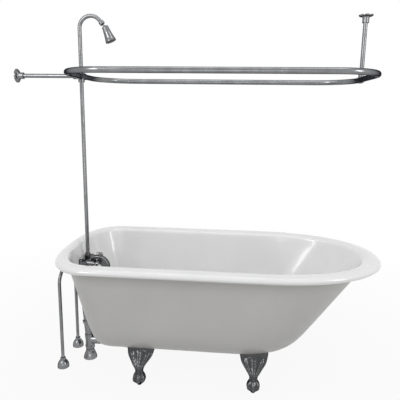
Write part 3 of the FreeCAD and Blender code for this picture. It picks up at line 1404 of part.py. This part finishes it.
eye_top = ring_height + eye_neck_length
eye_spot = (ring_end_x, ceiling_stay_y, ring_height)
eye_solids = [
    cylinder("eye_loop", eye_radius, eye_width, (ring_end_x, ceiling_stay_y - eye_width / 2, ring_height), ALONG_Y),
    cylinder("eye_neck", eye_neck_radius, eye_neck_length, eye_spot),
]
eye_bores = [
    cylinder("eye_bore", ring_tube_radius + slip_fit, eye_neck_radius * 4,
             (ring_end_x, ceiling_stay_y - eye_neck_radius * 2, ring_height), ALONG_Y),
    cylinder("eye_socket", stay_radius + slip_fit, eye_socket_depth,
             (ring_end_x, ceiling_stay_y, eye_top - eye_socket_depth)),
]
node(cut("ceiling_eye", fuse("eye_casting", eye_solids), eye_bores))
ceiling_stay_base = eye_top - eye_socket_depth
node(sleeve("ceiling_stay", stay_radius, stay_radius - stay_wall,
            ceiling_height - flange_floor - ceiling_stay_base,
            (ring_end_x, ceiling_stay_y, ceiling_stay_base)))
node(stay_flange("ceiling_flange", (ring_end_x, ceiling_stay_y, ceiling_height), DOWN))

# The two supplies: bent in two planes, with a collar inside the coupling nut, and their floor bells


def bent_wire(points, bends):
    """Straight runs joined by tangent arcs, one bend radius for each inner point."""
    edges = []
    start = points[0]
    for number, bend in enumerate(bends):
        corner = points[number + 1]
        arriving = (corner - points[number]).normalize()
        leaving = (points[number + 2] - corner).normalize()
        setback = bend * math.tan(arriving.getAngle(leaving) / 2)
        begin = corner - arriving * setback
        end = corner + leaving * setback
        middle = (leaving - arriving).normalize()
        centre = corner + middle * math.hypot(setback, bend)
        edges.append(Part.LineSegment(start, begin).toShape())
        edges.append(Part.Arc(begin, centre - middle * bend, end).toShape())
        start = end
    edges.append(Part.LineSegment(start, points[-1]).toShape())
    return Part.Wire(edges)


def supply_shape(side):
    points = [Vector(float(x), float(y) * side, float(z)) for x, y, z in (
        (supply_x, supply_centres / 2, 0),
        (supply_x, supply_centres / 2, supply_straight),
        (supply_corner_x, faucet_centres / 2, faucet_height),
        (shank_end_x, faucet_centres / 2, faucet_height),
    )]
    route = bent_wire(points, [float(supply_low_bend), float(supply_top_bend)])
    tubes = []
    for radius in (float(supply_radius), float(supply_radius - supply_wall)):
        section = Part.Wire(Part.Circle(points[0], Vector(0, 0, 1), radius).toShape())
        tubes.append(route.makePipeShell([section], True, False))
    thickness = float(supply_collar_thickness)
    collar = Part.makeCylinder(float(supply_collar_radius), thickness, points[-1] - Vector(thickness, 0, 0),
                               Vector(1, 0, 0))
    return tubes[0].fuse(collar).cut(tubes[1])


bells = []
for name, side in (("hot", -1), ("cold", 1)):
    node(feature(name + "_supply", supply_shape(side)))
    bells.append(floor_bell(name + "_supply_bell", supply_bell_radius, supply_bell_top_radius,
                            supply_bell_height, supply_bell_dome_radius, supply_radius,
                            (supply_x, supply_centres / 2 * side, 0)))
node(group("supply_bells", bells))

# Every object must have built before anything is written
doc.recompute()
for piece in doc.Objects:
    if "Invalid" in piece.State or "Error" in piece.State:
        raise RuntimeError("%s did not build: %s" % (piece.Label, piece.State))
for piece in nodes:
    if piece.Shape.isNull() or not piece.Shape.isValid() or not piece.Shape.Solids:
        raise RuntimeError("%s has no sound solid" % piece.Label)

os.makedirs("parts", exist_ok=True)
for piece in nodes:
    piece.Shape.exportStep(os.path.join("parts", piece.Label + ".step"))
    print("%-22s %2d solids %12.1f mm3" % (piece.Label, len(piece.Shape.Solids), piece.Shape.Volume))
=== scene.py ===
import json
import math

import bpy
import numpy as np
from mathutils import Matrix, Vector
from mathutils.bvhtree import BVHTree


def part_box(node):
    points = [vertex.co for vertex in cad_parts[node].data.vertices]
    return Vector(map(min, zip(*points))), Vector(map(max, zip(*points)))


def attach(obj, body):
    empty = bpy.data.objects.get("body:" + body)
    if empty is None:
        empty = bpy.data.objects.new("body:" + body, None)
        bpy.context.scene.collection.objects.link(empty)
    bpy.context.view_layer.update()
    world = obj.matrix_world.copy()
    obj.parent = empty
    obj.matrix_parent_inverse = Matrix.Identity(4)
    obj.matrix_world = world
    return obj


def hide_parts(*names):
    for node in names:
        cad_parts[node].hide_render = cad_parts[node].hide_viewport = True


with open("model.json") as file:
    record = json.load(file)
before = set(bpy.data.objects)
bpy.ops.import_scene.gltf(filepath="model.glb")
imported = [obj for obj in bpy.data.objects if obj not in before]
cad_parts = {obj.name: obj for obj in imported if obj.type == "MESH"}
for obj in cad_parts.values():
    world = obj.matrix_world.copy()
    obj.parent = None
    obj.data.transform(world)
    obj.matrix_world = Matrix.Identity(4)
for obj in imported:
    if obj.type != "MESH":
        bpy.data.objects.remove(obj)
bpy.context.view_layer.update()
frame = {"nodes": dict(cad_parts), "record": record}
nodes = frame["nodes"]
scene = bpy.context.scene
scene.view_settings.view_transform = "Standard"


# Materials: each finish varies between a low and a high value over a noise in metres

NEUTRAL = (1.0, 1.0, 1.0)
COOL = (0.985, 1.0, 1.03)
WARM = (1.01, 1.0, 0.975)
WHITE = (1.0, 1.0, 1.0, 1.0)
NOISE_LOW, NOISE_HIGH = 0.3, 0.7  # the part of the noise's range that is used


def grey(value, tint=NEUTRAL):
    return tuple(value * part for part in tint)


class Shader:
    """A principled material whose sockets are fed by small procedural graphs in object coordinates."""

    def __init__(self, name, **values):
        self.material = bpy.data.materials.new(name)
        self.material.use_nodes = True
        self.tree = self.material.node_tree
        self.surface = self.tree.nodes["Principled BSDF"]
        self.place = self.tree.nodes.new("ShaderNodeTexCoord").outputs["Object"]
        for socket, value in values.items():
            self.surface.inputs[socket.replace("_", " ")].default_value = value

    def node(self, kind, **settings):
        made = self.tree.nodes.new("ShaderNode" + kind)
        for key, value in settings.items():
            setattr(made, key, value)
        return made

    def link(self, source, target):
        self.tree.links.new(source, target)

    def feed(self, socket, source):
        self.link(source, self.surface.inputs[socket])

    def noise(self, scale, detail=4.0, stretch=None):
        """Cloudy noise; stretch squeezes it along the axes, as on ground metal."""
        made = self.node("TexNoise")
        made.inputs["Scale"].default_value = scale
        made.inputs["Detail"].default_value = detail
        place = self.place
        if stretch:
            mapping = self.node("Mapping")
            mapping.inputs["Scale"].default_value = stretch
            self.link(place, mapping.inputs["Vector"])
            place = mapping.outputs["Vector"]
        self.link(place, made.inputs["Vector"])
        return made.outputs["Fac"]

    def ramp(self, source, stops):
        """Maps a value to colours; a stop is (position, colour)."""
        made = self.node("ValToRGB")
        elements = made.color_ramp.elements
        while len(elements) < len(stops):
            elements.new(1.0)
        for element, (position, colour) in zip(elements, stops):
            element.position = position
            element.color = (*colour, 1.0)
        self.link(source, made.inputs["Fac"])
        return made.outputs["Color"]

    def tone(self, source, low, high, tint=NEUTRAL):
        """Maps a noise to the greys between two values."""
        return self.ramp(source, [(NOISE_LOW, grey(low, tint)), (NOISE_HIGH, grey(high, tint))])

    def span(self, source, low, high, start=NOISE_LOW, end=NOISE_HIGH):
        """Maps a value to a range of numbers."""
        made = self.node("MapRange")
        limits = {"From Min": start, "From Max": end, "To Min": low, "To Max": high}
        for socket, value in limits.items():
            made.inputs[socket].default_value = value
        self.link(source, made.inputs["Value"])
        return made.outputs["Result"]

    def bumps(self, *heights):
        """Stacks bump maps; a height is (source, strength, depth in metres)."""
        normal = None
        for source, strength, depth in heights:
            made = self.node("Bump")
            made.inputs["Strength"].default_value = strength
            made.inputs["Distance"].default_value = depth
            self.link(source, made.inputs["Height"])
            if normal:
                self.link(normal, made.inputs["Normal"])
            normal = made.outputs["Normal"]
        self.link(normal, self.surface.inputs["Normal"])


def vitreous_enamel():
    made = Shader("vitreous_enamel", Coat_Weight=0.5, Coat_Roughness=0.05, Specular_IOR_Level=0.5)
    made.feed("Base Color", made.tone(made.noise(5.0), 0.80, 0.84))
    made.feed("Roughness", made.span(made.noise(40.0), 0.12, 0.22))
    made.bumps((made.noise(14.0, 2.0), 0.25, 0.0015), (made.noise(170.0), 0.10, 0.0004))
    return made.material


def outer_paint():
    made = Shader("outer_paint", Specular_IOR_Level=0.4)
    made.feed("Base Color", made.tone(made.noise(4.0), 0.49, 0.52, WARM))
    made.feed("Roughness", made.span(made.noise(60.0), 0.34, 0.46))
    made.bumps((made.noise(22.0, 3.0), 0.2, 0.0015), (made.noise(320.0), 0.16, 0.0004))
    return made.material


def polished_chrome():
    made = Shader("polished_chrome", Metallic=1.0, Specular_Tint=(0.10, 0.10, 0.11, 1.0))
    shades = [(0.35, grey(0.20, COOL)), (0.65, grey(0.25, COOL))]
    made.feed("Base Color", made.ramp(made.noise(20.0), shades))
    made.feed("Roughness", made.span(made.noise(30.0, 3.0), 0.21, 0.25))
    return made.material


def cast_chrome():
    """Chrome on a rough casting, with painted shade: dark in the hollows where shade falls, and bright on the
    edges as worn plating and painted highlight together.
    """
    made = Shader("cast_chrome", Metallic=1.0, Specular_Tint=(0.25, 0.25, 0.26, 1.0))
    edges = made.node("NewGeometry").outputs["Pointiness"]
    # Painted shade: near black in the hollows; the brighter edges are worn plating and painted highlight
    # together.
    shades = [(0.45, grey(0.015, COOL)), (0.50, grey(0.075, COOL)), (0.55, grey(0.30, COOL))]
    hollow_shade_and_wear = made.ramp(edges, shades)
    cloud = made.tone(made.noise(60.0), 0.75, 1.0)
    blend = made.node("Mix", data_type="RGBA", blend_type="MULTIPLY")
    factor, first, second = blend.inputs[0], blend.inputs[6], blend.inputs[7]
    factor.default_value = 1.0
    made.link(hollow_shade_and_wear, first)
    made.link(cloud, second)
    made.feed("Base Color", blend.outputs[2])
    made.feed("Roughness", made.span(made.noise(110.0, 6.0), 0.14, 0.24))
    made.bumps((made.noise(45.0, 3.0), 0.2, 0.0015), (made.noise(420.0), 0.12, 0.0004))
    return made.material


def machined(name, low, high, tint):
    made = Shader(name, Metallic=1.0)
    made.feed("Base Color", made.tone(made.noise(80.0), low, high, tint))
    made.feed("Roughness", made.span(made.noise(300.0, stretch=(1.0, 1.0, 12.0)), 0.22, 0.38))
    made.bumps((made.noise(500.0, stretch=(1.0, 1.0, 10.0)), 0.12, 0.0003))
    return made.material


def moulded(name, low, high, tint):
    made = Shader(name, Specular_IOR_Level=0.35)
    made.feed("Base Color", made.tone(made.noise(120.0), low, high, tint))
    made.feed("Roughness", made.span(made.noise(200.0), 0.45, 0.7))
    made.bumps((made.noise(600.0), 0.2, 0.0003))
    return made.material


finishes = {
    "enamel": vitreous_enamel(),
    "foot_metal": cast_chrome(),
    "chrome": polished_chrome(),
    "index": polished_chrome(),
    "steel": machined("zinc_steel", 0.42, 0.55, NEUTRAL),
    "brass": machined("turned_brass", 0.55, 0.68, (1.0, 0.82, 0.5)),
    "rubber": moulded("black_rubber", 0.03, 0.05, NEUTRAL),
    "spray": moulded("spray_plastic", 0.05, 0.08, (1.0, 1.0, 1.05)),
}
for entry in frame["record"]["subparts"]:
    surface = nodes[entry["node"]].data
    surface.materials.clear()
    surface.materials.append(finishes[entry["material_slot"]])


# The tub's outer face is painted from the lip down; its rim and basin are enamelled

LIP_HEIGHT = 0.596
UNDERSIDE_HEIGHT = 0.152  # all faces below this are outside
UPWARD = 0.2  # slivers of the basin's floor look up more than this
PAINTED = 1  # the material slot after the enamel's

tub = nodes["tub_shell"].data
tub.materials.append(outer_paint())
tub_middle = sum(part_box("tub_shell"), Vector()) / 2
for face in tub.polygons:
    from_middle = face.center.xy - tub_middle.xy
    outward = face.normal.xy.dot(from_middle) > 0 and face.normal.z < UPWARD
    outside = outward or face.center.z < UNDERSIDE_HEIGHT
    if outside and face.center.z < LIP_HEIGHT:
        face.material_index = PAINTED


def new_piece(name, points, faces, material):
    mesh = bpy.data.meshes.new(name)
    mesh.from_pydata(points, [], faces)
    mesh.materials.append(material)
    piece = bpy.data.objects.new(name, mesh)
    scene.collection.objects.link(piece)
    return piece


# The feet: a ball held by four talons under a leafed knee. Lengths in metres, turns and widths in degrees

FEET = ("foot_drain_near", "foot_drain_far", "foot_round_near", "foot_round_far")
FEET_Y = 0.206
FOOT_TURNS = 144
FOOT_RINGS = 120
FOOT_SMOOTHING = 9  # rings
FOOT_LEVELS = [  # height, half width, half depth, set-back under the tub
    (0.0, 0.009, 0.009, 0.0),
    (0.0073, 0.0146, 0.0146, 0.0),
    (0.0159, 0.0219, 0.0219, 0.0),
    (0.026, 0.0300, 0.0300, 0.0),
    (0.037, 0.0318, 0.0318, 0.0),
    (0.050, 0.0284, 0.0284, 0.0),
    (0.066, 0.0190, 0.0190, 0.0),
    (0.080, 0.0200, 0.0195, 0.0),
    (0.0973, 0.0270, 0.0250, 0.0026),
    (0.1076, 0.0328, 0.0268, 0.0062),
    (0.1306, 0.0510, 0.0291, 0.0234),
    (0.1525, 0.0635, 0.0313, 0.0374),
    (0.1697, 0.0680, 0.0331, 0.0458),
    (0.195, 0.0680, 0.0340, 0.0520),
]
TALON_TURNS = (-52.0, 0.0, 52.0, 180.0)
TALON_START, TALON_FULL, TALON_FADE, TALON_END = 0.004, 0.018, 0.056, 0.086
TALON_WIDTH, TALON_RELIEF = 15, 0.0046
KNUCKLE_HEIGHT, KNUCKLE_STEP, KNUCKLE_DEPTH = 0.050, 0.026, 0.2
LEAF_TURNS = (-70.0, -35.0, 0.0, 35.0, 70.0)
LEAF_START, LEAF_FULL, LEAF_FADE, LEAF_END = 0.076, 0.104, 0.156, 0.170
LEAF_WIDTH, LEAF_RELIEF = 13, 0.0050
TIP_DROP = 0.0002  # the outer leaves end lower, per degree of turn
FAN_START, FAN_END, FAN_CLOSED = 0.082, 0.140, 0.6
STALK_WIDTH, STALK_DEPTH = 3.5, 0.45
BARB_STEP, BARB_SLOPE, BARB_DEPTH = 0.013, 0.0007, 0.07
WALL_LOW, WALL_LET_IN = 0.12, 0.003  # above this height the skin is let into the tub's wall
TONGUE_START, TONGUE_LOW, TONGUE_HIGH = 0.050, 0.1283, 0.1387


def bell(distance, width):
    return np.exp(-(distance / width) ** 2)


def wave(distance, step):
    return np.cos(distance / step * 2 * math.pi)


def ease(values, start, end):
    """Rises from 0 to 1 between two values, or falls where the end comes first."""
    return np.clip((values - start) / (end - start), 0, 1)


def foot_profile(heights):
    """Half width, half depth and set-back over the height: a drop-shaped ball, an ankle and a knee."""
    levels = np.array(FOOT_LEVELS)
    kernel = np.hanning(FOOT_SMOOTHING)
    kernel /= kernel.sum()
    lines = [np.interp(heights, levels[:, 0], levels[:, column]) for column in (1, 2, 3)]
    return [np.convolve(np.pad(line, FOOT_SMOOTHING // 2, mode="edge"), kernel, mode="valid") for line in lines]


def carving(turns, heights):
    """Relief in metres: talons with knuckles round the ball, and a fan of leaves on the knee."""
    relief = np.zeros_like(turns)
    grip = ease(heights, TALON_START, TALON_FULL) * ease(heights, TALON_END, TALON_FADE)
    knuckles = 1 - KNUCKLE_DEPTH + KNUCKLE_DEPTH * wave(heights - KNUCKLE_HEIGHT, KNUCKLE_STEP)
    for talon in TALON_TURNS:
        aside = (turns - talon + 180) % 360 - 180
        relief += TALON_RELIEF * bell(aside, TALON_WIDTH) * grip * knuckles
    opened = ease(heights, LEAF_START, LEAF_FULL)
    fanned = FAN_CLOSED + (1 - FAN_CLOSED) * ease(heights, FAN_START, FAN_END)
    for leaf in LEAF_TURNS:
        aside = turns - leaf * fanned
        drop = TIP_DROP * abs(leaf)
        tip = ease(heights, LEAF_END - drop, LEAF_FADE - drop)
        stalk = 1 - STALK_DEPTH * bell(aside, STALK_WIDTH)
        barbs = 1 + BARB_DEPTH * wave(heights - BARB_SLOPE * np.abs(aside), BARB_STEP)
        relief += LEAF_RELIEF * opened * tip * bell(aside, LEAF_WIDTH) * stalk * barbs
    return relief


def carved_foot(name):
    """The foot's carved skin, let into the tub's wall at its top, with the casting's bolting tongue."""
    low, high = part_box(name)
    side = -1 if low.y < 0 else 1
    centre_x, centre_y = (low.x + high.x) / 2, FEET_Y * side
    heights = np.linspace(0.0, FOOT_LEVELS[-1][0], FOOT_RINGS)
    half_width, half_depth, back = foot_profile(heights)
    turns = np.linspace(-180, 180, FOOT_TURNS, endpoint=False)
    turn_grid, height_grid = np.meshgrid(turns, heights)
    relief = carving(turn_grid, height_grid)
    angle = np.radians(turn_grid)
    reach_x = (half_width[:, None] + relief) * np.sin(angle)
    reach_y = (half_depth[:, None] + relief) * np.cos(angle) - back[:, None]
    points = [Vector((centre_x + x, centre_y + side * y, z))
              for x, y, z in zip(reach_x.ravel(), reach_y.ravel(), height_grid.ravel())]
    for point in points:
        spot, normal, _, _ = tub_face.find_nearest(point)
        if point.z > WALL_LOW and (point - spot).dot(normal) < 0:
            point.xyz = spot - normal * WALL_LET_IN
    faces = []
    for ring in range(FOOT_RINGS - 1):
        for step in range(FOOT_TURNS):
            after = (step + 1) % FOOT_TURNS
            quad = [ring * FOOT_TURNS + step, ring * FOOT_TURNS + after,
                    (ring + 1) * FOOT_TURNS + after, (ring + 1) * FOOT_TURNS + step]
            faces.append(quad if side < 0 else quad[::-1])
    sole = list(range(FOOT_TURNS))
    faces.append(sole[::-1] if side < 0 else sole)
    cad = nodes[name].data
    for face in cad.polygons:
        levels = [cad.vertices[index].co.z for index in face.vertices]
        inward = (centre_y - face.center.y) * side
        if inward > TONGUE_START and TONGUE_LOW < min(levels) and max(levels) < TONGUE_HIGH:
            start = len(points)
            points += [cad.vertices[index].co.copy() for index in face.vertices]
            faces.append(list(range(start, len(points))))
    piece = new_piece(name + "_carved", points, faces, finishes["foot_metal"])
    piece.data.shade_smooth()
    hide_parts(name)
    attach(piece, "bath")


painted = [tuple(face.vertices) for face in tub.polygons if face.material_index == PAINTED]
tub_face = BVHTree.FromPolygons([vertex.co for vertex in tub.vertices], painted)
for foot in FEET:
    carved_foot(foot)


# The spout's skin, 0.1 mm under its outer bend, closes what the solid's waterways open there

BEND_X, BEND_Z = 0.0576, 0.510
SKIN_OUTER, SKIN_INNER = 0.0599, 0.0582
SKIN_HALF_WIDTH = 0.0096
SKIN_TURNS = np.radians(np.linspace(14, 45, 13))
SKIN_CORNERS = ((SKIN_OUTER, -1), (SKIN_OUTER, 1), (SKIN_INNER, 1), (SKIN_INNER, -1))


def spout_skin():
    points = [(BEND_X + radius * math.cos(turn), side * SKIN_HALF_WIDTH, BEND_Z + radius * math.sin(turn))
              for turn in SKIN_TURNS for radius, side in SKIN_CORNERS]
    corners = len(SKIN_CORNERS)
    faces = [tuple(reversed(range(corners))), tuple(range(len(points) - corners, len(points)))]
    for step in range(len(SKIN_TURNS) - 1):
        for corner in range(corners):
            near, after = step * corners + corner, step * corners + (corner + 1) % corners
            faces.append((near, after, after + corners, near + corners))
    piece = new_piece("spout_skin", points, faces, finishes["chrome"])
    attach(piece, "bath")


spout_skin()


# The stage: a pale floor, a white surround and soft lamps

FLOOR_HALF = 30.0
FLOOR_CENTRE = (0.6, 0.0, 0.0)
FLOOR_CORNERS = [(x * FLOOR_HALF, y * FLOOR_HALF, 0.0) for x, y in ((-1, -1), (1, -1), (1, 1), (-1, 1))]
GLOW_NEAR, GLOW_FAR = 0.92, 1.0  # near the object the floor glows less and keeps its shadow
SHADOW_RADIUS, WHITE_RADIUS = 0.7, 2.6
AMBIENT = 0.52
LAMPS = (  # name, place, target, width, height, watts
    ("top_lamp", (0.6, -0.4, 3.6), (0.65, 0.0, 0.5), 3.0, 0.8, 20),
    ("key_lamp", (-1.6, -3.2, 2.8), (0.6, 0.0, 0.6), 1.0, 1.8, 40),
    ("front_lamp", (0.5, -3.0, 0.7), (0.65, 0.0, 0.4), 1.8, 0.3, 6),
    ("side_lamp", (3.6, -1.8, 1.8), (0.7, 0.0, 0.6), 0.7, 1.8, 24),
)


def math_node(tree, operation, *sources):
    """The output of a math node whose inputs are sockets or numbers."""
    made = tree.nodes.new("ShaderNodeMath")
    made.operation = operation
    for socket, source in zip(made.inputs, sources):
        if isinstance(source, float):
            socket.default_value = source
        else:
            tree.links.new(source, socket)
    return made.outputs[0]


def seen_rays(tree):
    """1 for what the camera sees, directly, mirrored or through glass, and 0 for light on the object."""
    path = tree.nodes.new("ShaderNodeLightPath").outputs
    sharp = math_node(tree, "MAXIMUM", path["Is Glossy Ray"], path["Is Transmission Ray"])
    return math_node(tree, "MAXIMUM", path["Is Camera Ray"], sharp)


def stage_floor():
    made = Shader("stage_floor", Roughness=0.9)
    made.feed("Base Color", made.tone(made.noise(3.0), 0.50, 0.54))
    glow = made.node("Emission")
    glow.inputs["Color"].default_value = WHITE
    glow.inputs["Strength"].default_value = 1.0
    away = made.node("VectorMath", operation="DISTANCE")
    away.inputs[1].default_value = FLOOR_CENTRE
    made.link(made.place, away.inputs[0])
    fade = made.span(away.outputs["Value"], GLOW_NEAR, GLOW_FAR, SHADOW_RADIUS, WHITE_RADIUS)
    blend = made.node("MixShader")
    made.link(math_node(made.tree, "MULTIPLY", seen_rays(made.tree), fade), blend.inputs[0])
    made.link(made.surface.outputs[0], blend.inputs[1])
    made.link(glow.outputs[0], blend.inputs[2])
    made.link(blend.outputs[0], made.tree.nodes["Material Output"].inputs["Surface"])
    return made.material


def surround():
    """White where it is seen or mirrored, and even light elsewhere."""
    world = bpy.data.worlds.new("studio")
    scene.world = world
    world.use_nodes = True
    tree = world.node_tree
    background = tree.nodes["Background"]
    background.inputs["Color"].default_value = WHITE
    tree.links.new(math_node(tree, "MAXIMUM", seen_rays(tree), AMBIENT), background.inputs["Strength"])


def lamp(name, place, target, width, height, power):
    data = bpy.data.lights.new(name, "AREA")
    data.shape = "RECTANGLE"
    data.size = width
    data.size_y = height
    data.energy = power
    piece = bpy.data.objects.new(name, data)
    piece.location = place
    piece.rotation_euler = (Vector(target) - Vector(place)).to_track_quat("-Z", "Y").to_euler()
    scene.collection.objects.link(piece)


ground_piece = new_piece("stage_floor", FLOOR_CORNERS, [(0, 1, 2, 3)], stage_floor())
surround()
for values in LAMPS:
    lamp(*values)


# The camera stands where the photograph was taken from

CAMERA_PLACE = Vector((0.7703, -2.0914, 1.2868))
YAW, PITCH, ROLL = -0.09283531, 0.19457738, 0.01414147
FOCAL_PIXELS, IMAGE_PIXELS = 441.504, 400
SENSOR = 36.0

forward = Vector((math.sin(YAW) * math.cos(PITCH), math.cos(YAW) * math.cos(PITCH), -math.sin(PITCH)))
level = Vector((math.cos(YAW), -math.sin(YAW), 0.0))
upward = level.cross(forward)
right = level * math.cos(ROLL) + upward * math.sin(ROLL)
top = upward * math.cos(ROLL) - level * math.sin(ROLL)
turned = Matrix((right, top, -forward)).transposed().to_4x4()
lens = bpy.data.cameras.new("camera")
lens.sensor_width = SENSOR
lens.lens = FOCAL_PIXELS / IMAGE_PIXELS * SENSOR
camera = bpy.data.objects.new("camera", lens)
camera.matrix_world = Matrix.Translation(CAMERA_PLACE) @ turned
scene.collection.objects.link(camera)
scene.camera = camera
